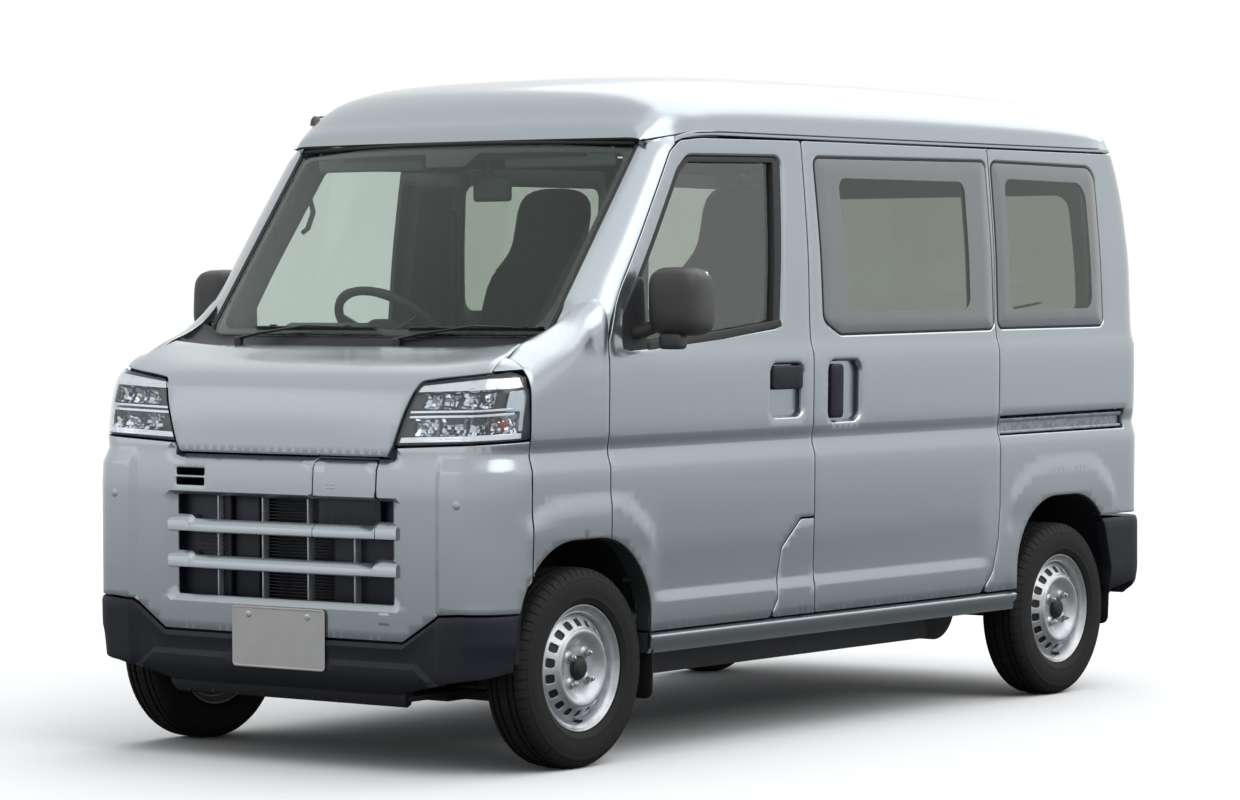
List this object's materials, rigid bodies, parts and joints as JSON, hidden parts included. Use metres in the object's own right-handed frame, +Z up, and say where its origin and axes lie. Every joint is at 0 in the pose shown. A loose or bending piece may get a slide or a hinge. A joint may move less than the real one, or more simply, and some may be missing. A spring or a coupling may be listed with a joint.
{
  "type": "electric kei cargo van",
  "caption": "Small high-roof electric cargo van with hinged front doors, tailgate, front hood and charging lid, sliding side doors, and steered front wheels.",
  "frame": {"origin": "on the ground, midway between the front of the number plate and the rear bumper, on the centre plane", "axes": "-Y is forward, +X is the vehicle's left side, +Z is up"},
  "size_m": [1.8238, 3.395, 1.89],
  "materials": {
    "paint": "metallic silver-grey",
    "bumper_plastic": "grained dark navy-grey polypropylene",
    "black_plastic": "grained black",
    "trim": "grained dark grey interior trim",
    "fabric": "woven seat fabric",
    "glass": "clear, slightly green",
    "dark_glass": "grey-green with dark borders",
    "lens": "clear polycarbonate",
    "red_lens": "red lens",
    "plate": "silver, blank",
    "wheel_steel": "silver paint on pressed steel",
    "tyre": "moulded rubber",
    "chassis": "black chassis paint",
    "battery_case": "dark coated steel"
  },
  "bodies": {
    "root": {"underframe": "chassis", "side_left": "paint", "side_right": "paint", "roof_cap": "paint", "fenders": "paint", "fascia": "paint", "grille": "black_plastic", "front_bumper": "bumper_plastic", "cowl": "black_plastic", "windscreen": "glass", "headlamps": "lens", "number_plate": "plate", "sliding_door_left": "paint", "sliding_door_right": "paint", "sliding_door_glass": "dark_glass", "quarter_glass": "dark_glass", "tail_lamps": "red_lens", "rear_bumper": "bumper_plastic", "dashboard": "trim", "steering_wheel": "trim", "seats": "fabric", "battery_pack": "battery_case", "front_suspension": "chassis", "rear_axle": "chassis"},
    "hood": {"hood": "paint"},
    "charge_lid": {"charge_lid": "paint"},
    "door_left": {"front_door_left": "paint", "door_glass_left": "glass", "mirror_left": "black_plastic"},
    "door_right": {"front_door_right": "paint", "door_glass_right": "glass", "mirror_right": "black_plastic"},
    "tailgate": {"tailgate": "paint", "tailgate_glass": "dark_glass"},
    "knuckle_left": {"knuckle_left": "chassis"},
    "knuckle_right": {"knuckle_right": "chassis"},
    "wheel_front_left": {"rim_front_left": "wheel_steel", "tyre_front_left": "tyre"},
    "wheel_front_right": {"rim_front_right": "wheel_steel", "tyre_front_right": "tyre"},
    "wheel_rear_left": {"rim_rear_left": "wheel_steel", "tyre_rear_left": "tyre"},
    "wheel_rear_right": {"rim_rear_right": "wheel_steel", "tyre_rear_right": "tyre"}
  },
  "joints": [
    {"name": "door_left_hinge", "type": "hinge", "parent": "root", "child": "door_left", "pos_m": [0.731, -1.1785, 0.7], "axis": [0, 0, -1], "range_deg": [0, 65]},
    {"name": "door_right_hinge", "type": "hinge", "parent": "root", "child": "door_right", "pos_m": [-0.731, -1.1785, 0.7], "axis": [0, 0, 1], "range_deg": [0, 65]},
    {"name": "hood_hinge", "type": "hinge", "parent": "root", "child": "hood", "pos_m": [0, -1.423, 1.119], "axis": [-1, 0, 0], "range_deg": [0, 50]},
    {"name": "charge_lid_hinge", "type": "hinge", "parent": "root", "child": "charge_lid", "pos_m": [0.335, -1.686, 0.721], "axis": [0, 0, 1], "range_deg": [0, 100]},
    {"name": "tailgate_hinge", "type": "hinge", "parent": "root", "child": "tailgate", "pos_m": [0, 1.586, 1.7], "axis": [1, 0, 0], "range_deg": [0, 85]},
    {"name": "steer_left", "type": "hinge", "parent": "root", "child": "knuckle_left", "pos_m": [0.596, -1.2855, 0.205], "axis": [-0.1864, 0, 0.9825], "range_deg": [-35, 35]},
    {"name": "steer_right", "type": "hinge", "parent": "root", "child": "knuckle_right", "pos_m": [-0.596, -1.2855, 0.205], "axis": [0.1864, 0, 0.9825], "range_deg": [-35, 35]},
    {"name": "spin_front_left", "type": "hinge", "parent": "knuckle_left", "child": "wheel_front_left", "pos_m": [0.652, -1.2855, 0.268], "axis": [1, 0, 0], "continuous": true},
    {"name": "spin_front_right", "type": "hinge", "parent": "knuckle_right", "child": "wheel_front_right", "pos_m": [-0.652, -1.2855, 0.268], "axis": [1, 0, 0], "continuous": true},
    {"name": "spin_rear_left", "type": "hinge", "parent": "root", "child": "wheel_rear_left", "pos_m": [0.652, 1.1645, 0.268], "axis": [1, 0, 0], "continuous": true},
    {"name": "spin_rear_right", "type": "hinge", "parent": "root", "child": "wheel_rear_right", "pos_m": [-0.652, 1.1645, 0.268], "axis": [1, 0, 0], "continuous": true}
  ],
  "couplings": [
    {"joint": "steer_right", "follows": "steer_left", "ratio": 1}
  ]
}
